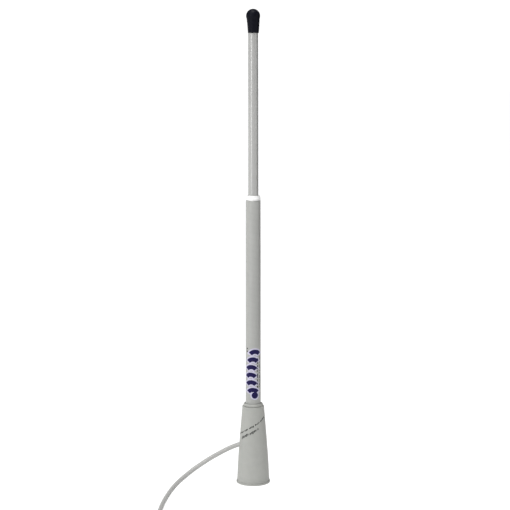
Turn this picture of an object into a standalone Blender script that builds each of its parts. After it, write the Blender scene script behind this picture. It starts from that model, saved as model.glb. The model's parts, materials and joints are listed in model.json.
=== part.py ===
"""A whip antenna on a screw-on base, with its coaxial lead wound into a coil beside it.

Lengths are in metres and +Z is up. The origin is the centre of the base's underside, on the
mast's axis. Everything else is placed from the driving dimensions below.
"""

import math

import bmesh
import bpy
from mathutils import Matrix, Vector

MM = 0.001
GAP = 0.3 * MM  # between pieces that touch

# Base ferrule, a moulded cone that the mast stands in
BASE_HEIGHT = 88.2 * MM
BASE_FOOT_RADIUS = 18.15 * MM
BASE_LIP_RADIUS = 18.9 * MM
BASE_LIP_HEIGHT = 2.0 * MM
BASE_SHOULDER_RADIUS = 12.3 * MM
BASE_SHOULDER_HEIGHT = 86.2 * MM
BASE_BULGE = 0.5 * MM
BASE_EDGE = 0.6 * MM
BASE_CORNER = 0.9 * MM
COLLAR_HEIGHT = 3.0 * MM
COLLAR_RADIUS = 10.9 * MM
COLLAR_CORNER = 1.2 * MM
CHAMBER_FLOOR = 30.0 * MM
CHAMBER_RADIUS = 7.2 * MM
TUBE_SEAT = 59.0 * MM

# Threaded insert, 1 inch by 14 threads to the inch
INSERT_LENGTH = 24.4 * MM
INSERT_RADIUS = 14.6 * MM
THREAD_MAJOR_RADIUS = 12.7 * MM
THREAD_MINOR_RADIUS = 11.75 * MM
THREAD_PITCH = 25.4 / 14 * MM

# Mast tubes: each tapers outside and has a parallel bore
LOWER_TUBE_FOOT_RADIUS = 8.62 * MM
LOWER_TUBE_TOP_RADIUS = 8.08 * MM
LOWER_TUBE_BORE = 7.15 * MM
BUSH_FLANGE_BOTTOM = 319.6 * MM
BUSH_FLANGE_TOP = 324.8 * MM
UPPER_TUBE_FOOT_RADIUS = 5.74 * MM
UPPER_TUBE_TOP_RADIUS = 5.30 * MM
UPPER_TUBE_BORE = 4.3 * MM
UPPER_TUBE_SEAT = 303.5 * MM
UPPER_TUBE_END = 519.6 * MM

# Tip cap: a ball head on a tapered skirt
CAP_TOP = 527.0 * MM
CAP_RIM = 501.7 * MM
CAP_HEAD_RADIUS = 7.85 * MM
CAP_NECK_RADIUS = 6.7 * MM
CAP_NECK_HEIGHT = 513.2 * MM
CAP_RIM_RADIUS = 6.15 * MM

# Radiator and matching parts inside the mast, stacked upwards from the cable's entry
ROD_RADIUS = 1.5 * MM
ROD_BORE = ROD_RADIUS + GAP
JACKET_END = 110.0 * MM
BRAID_END = 118.0 * MM
DIELECTRIC_END = 124.0 * MM
CORE_END = 130.0 * MM
BOARD_BOTTOM = 114.0 * MM
BOARD_TOP = 150.0 * MM
FORMER_BOTTOM = 152.0 * MM
FORMER_TOP = 196.0 * MM
FORMER_RADIUS = 4.2 * MM
WINDING_TURNS = 10
WINDING_PITCH = 3.4 * MM
WINDING_WIRE_RADIUS = 0.6 * MM
ROD_BOTTOM = 186.0 * MM
ROD_TOP = 498.0 * MM
FERRITE_HEIGHTS = (77.0 * MM, 86.6 * MM, 96.2 * MM)
FERRITE_LENGTH = 9.2 * MM
LOWER_SPACER_HEIGHTS = (232.0 * MM, 282.0 * MM)
UPPER_SPACER_HEIGHTS = (352.0 * MM, 408.0 * MM, 464.0 * MM)
SPACER_LENGTH = 12.0 * MM

# Coaxial lead
CABLE_RADIUS = 2.5 * MM
CABLE_HOLE = CABLE_RADIUS + GAP
CABLE_BEND = 12.0 * MM
EXIT = Vector((-15.74, 0.0, 43.3)) * MM
EXIT_SLOPE = math.radians(21)
LEAD_STEP = 11.0 * MM
GROMMET_RADIUS = 4.0 * MM
GROMMET_LENGTH = 9.0 * MM

# Coil of spare lead on the floor, and the two ties round it
COIL_CENTRE = Vector((-54.0, -221.0, 0.0)) * MM
COIL_RADIUS = 35.5 * MM
COIL_HALF_WIDTH = 11.4 * MM
COIL_BOTTOM = 1.3 * MM
COIL_TOP = 23.9 * MM
COIL_CORNER = 2.5 * MM
TIE_THICKNESS = 1.0 * MM
TIE_WIDTH = 3.0 * MM
TIE_ANGLES = (math.radians(40), math.radians(130))

# Connector: its own X axis points from the cable to the pin, and tilts up off the coil
PLUG_REAR = COIL_CENTRE + Vector((6.0, -28.0, 30.9)) * MM
PLUG_TILT = math.radians(8)
PLUG_BODY_START = 5.3 * MM
PLUG_BODY_END = 33.0 * MM
PLUG_BODY_RADIUS = 6.35 * MM
PLUG_BORE = 5.3 * MM
PLUG_FLANGE_RADIUS = 7.2 * MM
NUT_START = 19.5 * MM
NUT_LIP_END = 23.6 * MM
NUT_END = 35.5 * MM
NUT_RADIUS = 9.1 * MM
NUT_BORE = 7.6 * MM
NUT_FLUTES = 18
PIN_RADIUS = 2.0 * MM
PIN_TIP = 38.0 * MM

# Route of the lead from inside the grommet to the coil, and from the coil to the connector
LEAD_ROUTE = (
    (-0.0129, 0.0000, 0.0444),
    (-0.0157, 0.0000, 0.0433),
    (-0.0200, 0.0000, 0.0417),
    (-0.0267, -0.0003, 0.0390),
    (-0.0335, -0.0013, 0.0358),
    (-0.0402, -0.0030, 0.0325),
    (-0.0469, -0.0054, 0.0293),
    (-0.0535, -0.0086, 0.0259),
    (-0.0601, -0.0127, 0.0225),
    (-0.0667, -0.0178, 0.0191),
    (-0.0731, -0.0244, 0.0156),
    (-0.0794, -0.0329, 0.0124),
    (-0.0854, -0.0451, 0.0096),
    (-0.0903, -0.0600, 0.0070),
    (-0.0941, -0.0760, 0.0048),
    (-0.0966, -0.0920, 0.0034),
    (-0.0980, -0.1080, 0.0027),
    (-0.0986, -0.1240, 0.0026),
    (-0.0988, -0.1400, 0.0026),
    (-0.0988, -0.1560, 0.0026),
    (-0.0988, -0.1700, 0.0027),
    (-0.0987, -0.1850, 0.0032),
    (-0.0986, -0.1988, 0.0038),
)
TAIL_ROUTE = (
    (-0.0915, -0.2130, 0.0268),
    (-0.0920, -0.2230, 0.0268),
    (-0.0902, -0.2330, 0.0269),
    (-0.0852, -0.2417, 0.0271),
    (-0.0776, -0.2474, 0.0275),
    (-0.0678, -0.2490, 0.0281),
    (-0.0579, -0.2490, 0.0295),
    (-0.0480, -0.2490, 0.0309),
    (-0.0401, -0.2490, 0.0320),
)


def clear_scene():
    for obj in list(bpy.data.objects):
        bpy.data.objects.remove(obj)


def new_collection(name):
    collection = bpy.data.collections.new(name)
    bpy.context.scene.collection.children.link(collection)
    return collection


def finish(name, colour, roughness, metallic=0.0):
    """A Principled BSDF material."""
    material = bpy.data.materials.new(name)
    material.use_nodes = True
    shader = material.node_tree.nodes["Principled BSDF"]
    shader.inputs["Base Color"].default_value = (*colour, 1.0)
    shader.inputs["Roughness"].default_value = roughness
    shader.inputs["Metallic"].default_value = metallic
    return material


def add(name, data, material, parent=None):
    obj = bpy.data.objects.new(name, data)
    ANTENNA.objects.link(obj)
    obj.parent = parent
    if material:
        data.materials.append(material)
    return obj


def as_cutter(obj):
    ANTENNA.objects.unlink(obj)
    CUTTERS.objects.link(obj)
    obj.hide_render = True
    obj.display_type = "WIRE"
    return obj


def turned(name, outline, steps, material, parent=None):
    """A shape turned about Z from (radius, height) points that run down its outer side.

    An outline whose ends are off the axis is closed, and so makes a ring.
    """
    mesh = bpy.data.meshes.new(name)
    count = len(outline)
    edges = [(i, i + 1) for i in range(count - 1)]
    if outline[0][0] > 0:
        edges.append((count - 1, 0))
    mesh.from_pydata([(radius, 0, height) for radius, height in outline], edges, [])
    obj = add(name, mesh, material, parent)
    screw = obj.modifiers.new("Turn", "SCREW")
    screw.steps = screw.render_steps = steps
    screw.use_merge_vertices = True
    screw.merge_threshold = 0.01 * MM
    screw.use_smooth_shade = True
    return obj


def ring(name, outer, inner, bottom, top, steps, material, parent=None, edge=0.0):
    """A plain sleeve, with its outer edges chamfered by edge."""
    outline = [(inner, top), (outer - edge, top), (outer, top - edge)]
    outline += [(outer, bottom + edge), (outer - edge, bottom), (inner, bottom)]
    if not edge:
        outline = [(inner, top), (outer, top), (outer, bottom), (inner, bottom)]
    return turned(name, outline, steps, material, parent)


def rod(name, radius, bottom, top, steps, material, parent=None, edge=0.0):
    """A plain round bar with chamfered ends."""
    outline = [(0, top), (radius - edge, top), (radius, top - edge)]
    outline += [(radius, bottom + edge), (radius - edge, bottom), (0, bottom)]
    if not edge:
        outline = [(0, top), (radius, top), (radius, bottom), (0, bottom)]
    return turned(name, outline, steps, material, parent)


def arc(centre, radius, start, end, steps):
    """Points of an arc in the outline's plane, from angle start to angle end in degrees."""
    points = []
    for step in range(steps + 1):
        angle = math.radians(start + (end - start) * step / steps)
        points.append((centre[0] + radius * math.cos(angle), centre[1] + radius * math.sin(angle)))
    return points


def smooth_through(route, spacing):
    """Evenly spaced points on a Catmull-Rom curve through a route."""
    knots = [Vector(point) for point in route]
    knots = [2 * knots[0] - knots[1], *knots, 2 * knots[-1] - knots[-2]]
    fine = [knots[1]]
    for i in range(1, len(knots) - 2):
        before, start, end, after = knots[i - 1 : i + 3]
        for step in range(1, 17):
            t = step / 16
            bend = 2 * start + (end - before) * t
            bend += (2 * before - 5 * start + 4 * end - after) * t**2
            bend += (3 * start - before - 3 * end + after) * t**3
            fine.append(bend / 2)
    total = sum((b - a).length for a, b in zip(fine, fine[1:]))
    count = max(2, round(total / spacing))
    kept, travelled, mark = [fine[0]], 0.0, 1
    for a, b in zip(fine, fine[1:]):
        travelled += (b - a).length
        if travelled >= total * mark / count and mark < count:
            kept.append(b)
            mark += 1
    return [*kept, fine[-1]]


def wire(name, points, radius, resolution, material, parent=None):
    """A round wire along a line of points."""
    curve = bpy.data.curves.new(name, "CURVE")
    curve.dimensions = "3D"
    curve.bevel_depth = radius
    curve.bevel_resolution = resolution
    curve.use_fill_caps = True
    spline = curve.splines.new("POLY")
    spline.points.add(len(points) - 1)
    for knot, point in zip(spline.points, points):
        knot.co = (*point, 1.0)
    return add(name, curve, material, parent)


def as_mesh(obj):
    """Replaces a curve with the welded mesh of its surface."""
    graph = bpy.context.evaluated_depsgraph_get()
    mesh = bpy.data.meshes.new_from_object(obj.evaluated_get(graph))
    weld = bmesh.new()
    weld.from_mesh(mesh)
    bmesh.ops.remove_doubles(weld, verts=weld.verts, dist=0.001 * MM)
    weld.to_mesh(mesh)
    weld.free()
    name, place = obj.name, obj.matrix_world.copy()
    bpy.data.objects.remove(obj)
    solid = add(name, mesh, None)
    solid.matrix_world = place
    return solid


def combine(obj, other, operation):
    boolean = obj.modifiers.new(operation.title(), "BOOLEAN")
    boolean.operation = operation
    boolean.object = other
    boolean.solver = "EXACT"
    return obj


def box(name, low, high, material, bevel=0.0):
    """A box between two corners, with rounded edges."""
    mesh = bpy.data.meshes.new(name)
    shape = bmesh.new()
    bmesh.ops.create_cube(shape, size=1.0)
    size = Vector(high) - Vector(low)
    bmesh.ops.scale(shape, vec=size, verts=shape.verts)
    shape.to_mesh(mesh)
    shape.free()
    obj = add(name, mesh, material)
    obj.location = (Vector(low) + Vector(high)) / 2
    if bevel:
        rounding = obj.modifiers.new("Round edges", "BEVEL")
        rounding.width = bevel
        rounding.segments = 2
    return obj


def base_radius(height):
    """The ferrule's outer radius: a cone with a slight bulge in its lower half."""
    share = (BASE_SHOULDER_HEIGHT - height) / (BASE_SHOULDER_HEIGHT - BASE_LIP_HEIGHT)
    cone = BASE_SHOULDER_RADIUS + (BASE_FOOT_RADIUS - BASE_SHOULDER_RADIUS) * share
    return cone + BASE_BULGE * math.sin(math.pi * share**1.3)


def base_side(inset=0.0):
    """Points down the ferrule's outer side, from its shoulder to its lip."""
    points = []
    for step in range(9):
        height = BASE_SHOULDER_HEIGHT + (BASE_LIP_HEIGHT - BASE_SHOULDER_HEIGHT) * step / 8
        points.append((base_radius(height) - inset, height))
    return points


def lower_tube_radius(height):
    share = (height - TUBE_SEAT) / (BUSH_FLANGE_BOTTOM - TUBE_SEAT)
    return LOWER_TUBE_FOOT_RADIUS + (LOWER_TUBE_TOP_RADIUS - LOWER_TUBE_FOOT_RADIUS) * share


def upper_tube_radius(height):
    share = (height - UPPER_TUBE_SEAT) / (UPPER_TUBE_END - UPPER_TUBE_SEAT)
    return UPPER_TUBE_FOOT_RADIUS + (UPPER_TUBE_TOP_RADIUS - UPPER_TUBE_FOOT_RADIUS) * share


def into_exit(distance):
    """The point that far along the cable's hole, inwards from the ferrule's surface."""
    return EXIT + distance * Vector((math.cos(EXIT_SLOPE), 0, math.sin(EXIT_SLOPE)))


def hole_cylinder(name, radius, start, end, material=None):
    """A cylinder along the cable's hole between two distances inwards from the surface."""
    cylinder = rod(name, radius, start, end, 24, material)
    turn = Matrix.Rotation(math.pi / 2 - EXIT_SLOPE, 4, "Y")
    cylinder.matrix_world = Matrix.Translation(EXIT) @ turn
    return cylinder


def make_base():
    seat_radius = LOWER_TUBE_FOOT_RADIUS + GAP
    socket_radius = INSERT_RADIUS + GAP
    socket_top = INSERT_LENGTH + 2 * GAP
    collar_top = BASE_HEIGHT + COLLAR_HEIGHT
    collar = (COLLAR_RADIUS - COLLAR_CORNER, collar_top - COLLAR_CORNER)
    shoulder = (BASE_SHOULDER_RADIUS - BASE_CORNER, BASE_HEIGHT - BASE_CORNER)
    outline = [(0, CHAMBER_FLOOR), (CHAMBER_RADIUS, CHAMBER_FLOOR), (CHAMBER_RADIUS, TUBE_SEAT)]
    outline += [(seat_radius, TUBE_SEAT), (seat_radius, collar_top)]
    outline += arc(collar, COLLAR_CORNER, 90, 0, 3)
    outline += [(COLLAR_RADIUS, BASE_HEIGHT)]
    outline += arc(shoulder, BASE_CORNER, 90, 15, 4)
    outline += base_side()
    outline += [(BASE_LIP_RADIUS, BASE_LIP_HEIGHT - 0.2 * MM), (BASE_LIP_RADIUS, BASE_EDGE)]
    outline += [(BASE_LIP_RADIUS - BASE_EDGE, 0), (socket_radius, 0)]
    outline += [(socket_radius, socket_top), (0, socket_top)]
    base = turned("base_ferrule", outline, 40, BASE_PLASTIC)
    hole = hole_cylinder("cable_hole_cutter", GROMMET_RADIUS + GAP, -4 * MM, 14 * MM)
    combine(base, as_cutter(hole), "DIFFERENCE")


def make_thread_insert():
    top = INSERT_LENGTH + GAP
    turns = int((top - 2 * GAP) / THREAD_PITCH)
    outline = [(THREAD_MAJOR_RADIUS, top), (INSERT_RADIUS - 0.4 * MM, top)]
    outline += [(INSERT_RADIUS, top - 0.4 * MM), (INSERT_RADIUS, GAP + 0.4 * MM)]
    outline += [(INSERT_RADIUS - 0.4 * MM, GAP), (THREAD_MAJOR_RADIUS, GAP)]
    for turn in range(turns):
        middle = GAP + THREAD_PITCH * (turn + 0.7)
        outline.append((THREAD_MINOR_RADIUS, middle))
        outline.append((THREAD_MAJOR_RADIUS, middle + THREAD_PITCH / 2))
    turned("thread_insert", outline, 28, NICKEL)


def make_grommet():
    grommet = hole_cylinder("cable_grommet", GROMMET_RADIUS, -4 * MM, GROMMET_LENGTH, CABLE_PVC)
    bore = hole_cylinder("grommet_bore_cutter", CABLE_HOLE, -6 * MM, GROMMET_LENGTH + 2 * MM)
    outline = [(0, BASE_SHOULDER_HEIGHT), *base_side(inset=GAP), (0, BASE_LIP_HEIGHT)]
    skin = turned("grommet_face_cutter", outline, 40, None)
    chamber = rod("chamber_cutter", CHAMBER_RADIUS + GAP, CHAMBER_FLOOR, TUBE_SEAT, 40, None)
    combine(grommet, as_cutter(skin), "INTERSECT")
    combine(grommet, as_cutter(chamber), "DIFFERENCE")
    combine(grommet, as_cutter(bore), "DIFFERENCE")


def make_mast():
    foot = TUBE_SEAT + GAP
    top = BUSH_FLANGE_BOTTOM - GAP
    outline = [(LOWER_TUBE_BORE, top), (lower_tube_radius(top), top)]
    outline += [(lower_tube_radius(foot), foot), (LOWER_TUBE_BORE, foot)]
    turned("lower_tube", outline, 40, GELCOAT)

    foot = UPPER_TUBE_SEAT + GAP
    outline = [(UPPER_TUBE_BORE, UPPER_TUBE_END)]
    outline += [(upper_tube_radius(UPPER_TUBE_END), UPPER_TUBE_END)]
    outline += [(upper_tube_radius(foot), foot), (UPPER_TUBE_BORE, foot)]
    turned("upper_tube", outline, 36, GELCOAT)

    bore = UPPER_TUBE_FOOT_RADIUS + GAP
    spigot = LOWER_TUBE_BORE - GAP
    flange = lower_tube_radius(BUSH_FLANGE_BOTTOM)
    outline = [(bore, BUSH_FLANGE_TOP), (bore + 0.7 * MM, BUSH_FLANGE_TOP)]
    outline += [(flange - 0.1 * MM, BUSH_FLANGE_BOTTOM + 1.6 * MM), (flange, BUSH_FLANGE_BOTTOM)]
    outline += [(spigot, BUSH_FLANGE_BOTTOM), (spigot, UPPER_TUBE_SEAT - 1.2 * MM)]
    outline += [(spigot - 0.5 * MM, UPPER_TUBE_SEAT - 2.2 * MM)]
    outline += [(UPPER_TUBE_BORE, UPPER_TUBE_SEAT - 2.2 * MM)]
    outline += [(UPPER_TUBE_BORE, UPPER_TUBE_SEAT), (bore, UPPER_TUBE_SEAT)]
    turned("reducer_bush", outline, 40, WHITE_NYLON)


def make_tip_cap():
    head = CAP_TOP - CAP_HEAD_RADIUS
    bore = upper_tube_radius(CAP_RIM) + GAP
    outline = [(0, CAP_TOP), *arc((0, head), CAP_HEAD_RADIUS, 78, -22, 9)]
    outline += [(CAP_NECK_RADIUS + 0.25 * MM, CAP_NECK_HEIGHT + 1.4 * MM)]
    outline += [(CAP_NECK_RADIUS, CAP_NECK_HEIGHT - 0.6 * MM)]
    outline += [(CAP_RIM_RADIUS, CAP_RIM + 0.5 * MM), (CAP_RIM_RADIUS - 0.25 * MM, CAP_RIM)]
    outline += [(bore, CAP_RIM), (bore, UPPER_TUBE_END + GAP), (0, UPPER_TUBE_END + GAP)]
    turned("tip_cap", outline, 32, RUBBER)


def make_inner_cable():
    """The lead's stretch inside the base, up to where its layers are stripped back."""
    inner_end = into_exit(3.3 * MM)
    bend_start = Vector((CABLE_BEND * (math.sin(EXIT_SLOPE) - 1), 0, 0))
    bend_start.z = into_exit((bend_start.x - EXIT.x) / math.cos(EXIT_SLOPE)).z
    centre = bend_start + CABLE_BEND * Vector((-math.sin(EXIT_SLOPE), 0, math.cos(EXIT_SLOPE)))
    line = [inner_end, (inner_end + bend_start) / 2]
    for step in range(9):
        angle = EXIT_SLOPE + (math.pi / 2 - EXIT_SLOPE) * step / 8
        turn = Vector((math.sin(angle), 0, -math.cos(angle)))
        line.append(centre + CABLE_BEND * turn)
    line += [Vector((0, 0, height * MM)) for height in (66, 78, 90, 100)]
    line.append(Vector((0, 0, JACKET_END)))
    wire("coax_jacket", line, CABLE_RADIUS, 2, CABLE_PVC)
    ring("coax_braid", 2.3 * MM, 1.8 * MM, JACKET_END + GAP, BRAID_END, 16, COPPER)
    dielectric_foot = JACKET_END + GAP
    ring("coax_dielectric", 1.5 * MM, 0.75 * MM, dielectric_foot, DIELECTRIC_END, 12, PTFE)
    rod("coax_core", 0.45 * MM, dielectric_foot, CORE_END, 10, COPPER)


def make_mast_foot_parts():
    fill = LOWER_TUBE_BORE - GAP
    ring("potting_plug", fill, CABLE_HOLE, 61 * MM, 71.5 * MM, 28, EPOXY, edge=0.3 * MM)
    ring("crimp_ring", 3.9 * MM, CABLE_HOLE, 72 * MM, 76.4 * MM, 20, BRASS, edge=0.3 * MM)
    for number, foot in enumerate(FERRITE_HEIGHTS, 1):
        name = f"ferrite_bead_{number}"
        ring(name, 5.7 * MM, CABLE_HOLE, foot, foot + FERRITE_LENGTH, 24, FERRITE, edge=0.5 * MM)


def make_matching_parts():
    low = (-5.4 * MM, 2.6 * MM, BOARD_BOTTOM)
    high = (5.4 * MM, 3.6 * MM, BOARD_TOP)
    box("matching_board", low, high, BOARD_GREEN, bevel=0.15 * MM)
    disc = rod("matching_capacitor", 2.9 * MM, -1.0 * MM, 1.0 * MM, 24, CERAMIC, edge=0.5 * MM)
    disc.location = (0, 1.3 * MM, 139 * MM)
    disc.rotation_euler = (math.pi / 2, 0, 0)
    ring("coil_former", FORMER_RADIUS, ROD_BORE, FORMER_BOTTOM, FORMER_TOP, 24, PTFE, edge=0.4 * MM)
    ring("rod_coupler", 3.4 * MM, ROD_BORE, FORMER_TOP + GAP, 205 * MM, 20, BRASS, edge=0.3 * MM)


def make_loading_coil():
    """A spaced winding on the former, with a straight leg at each end."""
    radius = FORMER_RADIUS + GAP + WINDING_WIRE_RADIUS
    foot = FORMER_BOTTOM + 4 * MM
    per_turn = 10
    line = [Vector((0, radius, BOARD_TOP - 6 * MM)), Vector((0, radius, foot - 1.5 * MM))]
    for step in range(WINDING_TURNS * per_turn + 1):
        angle = math.pi / 2 + 2 * math.pi * step / per_turn
        height = foot + WINDING_PITCH * step / per_turn
        line.append(Vector((radius * math.cos(angle), radius * math.sin(angle), height)))
    head = line[-1].z
    line += [Vector((0, radius, head + 1.5 * MM)), Vector((0, radius, head + 10 * MM))]
    wire("loading_coil", line, WINDING_WIRE_RADIUS, 2, COPPER)


def make_radiator():
    rod("radiator_rod", ROD_RADIUS, ROD_BOTTOM, ROD_TOP, 16, BRASS, edge=0.3 * MM)
    heights = (*LOWER_SPACER_HEIGHTS, *UPPER_SPACER_HEIGHTS)
    for number, foot in enumerate(heights, 1):
        tube_bore = LOWER_TUBE_BORE if foot in LOWER_SPACER_HEIGHTS else UPPER_TUBE_BORE
        name = f"foam_spacer_{number}"
        ring(name, tube_bore - GAP, ROD_BORE, foot, foot + SPACER_LENGTH, 20, FOAM)


def make_free_cable():
    lead = smooth_through(LEAD_ROUTE, LEAD_STEP)
    wire("cable_lead", lead, CABLE_RADIUS, 2, CABLE_PVC)
    tail = smooth_through(TAIL_ROUTE, LEAD_STEP / 2)
    wire("cable_tail", tail, CABLE_RADIUS, 2, CABLE_PVC)
    middle = (COIL_TOP + COIL_BOTTOM) / 2
    half_height = (COIL_TOP - COIL_BOTTOM) / 2
    outline = []
    for across, up, start in ((-1, 1, 180), (1, 1, 90), (1, -1, 0), (-1, -1, -90)):
        centre = COIL_RADIUS + across * (COIL_HALF_WIDTH - COIL_CORNER)
        height = middle + up * (half_height - COIL_CORNER)
        outline += arc((centre, height), COIL_CORNER, start, start - 90, 3)
    coil = turned("cable_coil", outline, 40, CABLE_PVC)
    coil.location = COIL_CENTRE


def rounded_loop(half_width, half_height, corner):
    """Points round a rectangle with rounded corners."""
    points = []
    for across, up, start in ((1, 1, 0), (-1, 1, 90), (-1, -1, 180), (1, -1, 270)):
        centre = (across * (half_width - corner), up * (half_height - corner))
        points += arc(centre, corner, start, start + 90, 4)
    return points


def make_ties():
    """Two straps, each closed round the coil's bundle with a head on its outer side."""
    inner_width = COIL_HALF_WIDTH + GAP
    inner_height = (COIL_TOP - COIL_BOTTOM) / 2 + GAP
    middle = (COIL_TOP + COIL_BOTTOM) / 2
    for number, angle in enumerate(TIE_ANGLES, 1):
        strap = bpy.data.curves.new(f"cable_tie_{number}", "CURVE")
        strap.dimensions = "2D"
        strap.fill_mode = "BOTH"
        strap.extrude = TIE_WIDTH / 2
        for grow in (0.0, TIE_THICKNESS):
            loop = rounded_loop(inner_width + grow, inner_height + grow, COIL_CORNER + grow)
            spline = strap.splines.new("POLY")
            spline.points.add(len(loop) - 1)
            spline.use_cyclic_u = True
            for knot, (across, up) in zip(spline.points, loop):
                knot.co = (across, up, 0.0, 1.0)
        tie = add(f"cable_tie_{number}", strap, None)
        upright = Matrix.Rotation(math.pi / 2, 4, "X")
        outwards = Matrix.Translation((COIL_RADIUS, 0, middle))
        place = Matrix.Translation(COIL_CENTRE) @ Matrix.Rotation(angle, 4, "Z") @ outwards
        tie.matrix_world = place @ upright
        bpy.context.view_layer.update()
        tie = as_mesh(tie)
        tie.data.materials.append(TIE_NYLON)
        head_start = inner_width + TIE_THICKNESS / 2
        low = (head_start, -2.3 * MM, -2.4 * MM)
        high = (head_start + 4.0 * MM, 2.3 * MM, 2.4 * MM)
        head = box(f"tie_head_{number}", low, high, None)
        head.matrix_world = place @ Matrix.Translation(head.location)
        combine(tie, as_cutter(head), "UNION")


def make_plug():
    frame = bpy.data.objects.new("plug_axis", None)
    ANTENNA.objects.link(frame)
    turn = Matrix.Rotation(-PLUG_TILT, 4, "Y") @ Matrix.Rotation(math.pi / 2, 4, "Y")
    frame.matrix_world = Matrix.Translation(PLUG_REAR) @ turn

    ring("plug_boot", 3.5 * MM, CABLE_HOLE, -20 * MM, -GAP, 20, HEAT_SHRINK, frame, 0.4 * MM)
    outline = [(CABLE_HOLE, 17 * MM), (PLUG_BORE - GAP, 17 * MM), (PLUG_BORE - GAP, 5 * MM)]
    outline += [(5.8 * MM, 5 * MM), (5.8 * MM, 0.5 * MM), (5.3 * MM, 0), (CABLE_HOLE, 0)]
    turned("plug_reducer", outline, 24, NICKEL, frame)

    outline = [(PLUG_BORE, PLUG_BODY_END), (6.3 * MM, PLUG_BODY_END), (6.3 * MM, 26.5 * MM)]
    outline += [(PLUG_FLANGE_RADIUS, 26.5 * MM), (PLUG_FLANGE_RADIUS, 24 * MM)]
    outline += [(PLUG_BODY_RADIUS, 24 * MM), (PLUG_BODY_RADIUS, PLUG_BODY_START + 0.4 * MM)]
    outline += [(PLUG_BODY_RADIUS - 0.4 * MM, PLUG_BODY_START), (PLUG_BORE, PLUG_BODY_START)]
    turned("plug_body", outline, 32, NICKEL, frame)

    pin_hole = PIN_RADIUS + GAP
    ring("plug_insulator", PLUG_BORE - GAP, pin_hole, 21 * MM, 27 * MM, 24, PTFE, frame)
    outline = [(0, PIN_TIP), (1.2 * MM, PIN_TIP), (PIN_RADIUS, PIN_TIP - 1.0 * MM)]
    outline += [(PIN_RADIUS, 18.5 * MM), (0, 18.5 * MM)]
    turned("plug_pin", outline, 20, BRASS, frame)

    lip_bore = PLUG_BODY_RADIUS + GAP
    outline = [(NUT_BORE, NUT_END), (NUT_RADIUS - 0.5 * MM, NUT_END)]
    outline += [(NUT_RADIUS, NUT_END - 0.5 * MM), (NUT_RADIUS, NUT_START + 0.5 * MM)]
    outline += [(NUT_RADIUS - 0.5 * MM, NUT_START), (lip_bore, NUT_START)]
    outline += [(lip_bore, NUT_LIP_END), (NUT_BORE, NUT_LIP_END)]
    nut = turned("plug_nut", outline, 36, NICKEL, frame)
    for number in range(NUT_FLUTES):
        angle = 2 * math.pi * (number + 0.5) / NUT_FLUTES
        name = f"nut_flute_cutter_{number + 1}"
        flute = rod(name, 0.9 * MM, NUT_START + 2 * MM, NUT_END - 2 * MM, 8, None, frame)
        flute.location = Vector((math.cos(angle), math.sin(angle), 0)) * (NUT_RADIUS + 0.3 * MM)
        combine(nut, as_cutter(flute), "DIFFERENCE")


clear_scene()
ANTENNA = new_collection("omnidirectional_antenna")
CUTTERS = new_collection("cutters")

BASE_PLASTIC = finish("base_plastic", (0.62, 0.63, 0.60), 0.55)
GELCOAT = finish("tube_gelcoat", (0.66, 0.66, 0.64), 0.30)
WHITE_NYLON = finish("white_nylon", (0.90, 0.90, 0.88), 0.40)
RUBBER = finish("black_rubber", (0.015, 0.016, 0.024), 0.45)
NICKEL = finish("nickel_plate", (0.62, 0.60, 0.56), 0.25, 1.0)
BRASS = finish("brass", (0.70, 0.50, 0.22), 0.30, 1.0)
COPPER = finish("copper", (0.80, 0.38, 0.22), 0.30, 1.0)
CABLE_PVC = finish("cable_jacket", (0.66, 0.66, 0.63), 0.45)
PTFE = finish("ptfe", (0.86, 0.86, 0.84), 0.50)
FERRITE = finish("ferrite", (0.07, 0.07, 0.075), 0.60)
BOARD_GREEN = finish("board_laminate", (0.04, 0.20, 0.08), 0.45)
CERAMIC = finish("capacitor_coating", (0.10, 0.22, 0.55), 0.35)
FOAM = finish("foam", (0.80, 0.79, 0.74), 0.90)
EPOXY = finish("epoxy", (0.10, 0.09, 0.08), 0.25)
TIE_NYLON = finish("tie_nylon", (0.02, 0.02, 0.02), 0.45)
HEAT_SHRINK = finish("heat_shrink", (0.02, 0.02, 0.022), 0.50)

make_base()
make_thread_insert()
make_grommet()
make_mast()
make_tip_cap()
make_inner_cable()
make_mast_foot_parts()
make_matching_parts()
make_loading_coil()
make_radiator()
make_free_cable()
make_ties()
make_plug()
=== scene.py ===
"""Looks for the whip antenna: its mast, base, lead and plug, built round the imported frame.

Lengths are in metres. The frame's Z axis is the mast's, and the lead leaves on the -X side.
"""

import json
import math
import random
from functools import partial

import bmesh
import bpy
from mathutils import Matrix, Vector


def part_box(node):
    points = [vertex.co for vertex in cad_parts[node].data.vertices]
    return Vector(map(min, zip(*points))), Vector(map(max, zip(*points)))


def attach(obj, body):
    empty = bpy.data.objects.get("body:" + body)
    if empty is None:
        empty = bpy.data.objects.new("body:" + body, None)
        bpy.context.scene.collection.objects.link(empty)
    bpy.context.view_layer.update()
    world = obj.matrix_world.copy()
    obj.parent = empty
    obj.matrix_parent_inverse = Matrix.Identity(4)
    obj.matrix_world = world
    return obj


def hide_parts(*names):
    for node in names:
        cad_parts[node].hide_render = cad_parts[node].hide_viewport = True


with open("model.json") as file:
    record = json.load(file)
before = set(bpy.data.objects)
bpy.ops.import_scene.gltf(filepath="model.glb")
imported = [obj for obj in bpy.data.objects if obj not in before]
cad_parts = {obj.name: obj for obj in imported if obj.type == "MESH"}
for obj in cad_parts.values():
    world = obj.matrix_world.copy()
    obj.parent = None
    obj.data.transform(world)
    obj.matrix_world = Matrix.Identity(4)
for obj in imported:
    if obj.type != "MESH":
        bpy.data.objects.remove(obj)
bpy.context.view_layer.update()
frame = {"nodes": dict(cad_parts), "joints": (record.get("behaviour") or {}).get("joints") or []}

MM = 0.001
GAP = 0.3 * MM  # between pieces that touch, as in the frame
HALF_TURN = math.pi
FULL_TURN = 2 * math.pi

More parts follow.
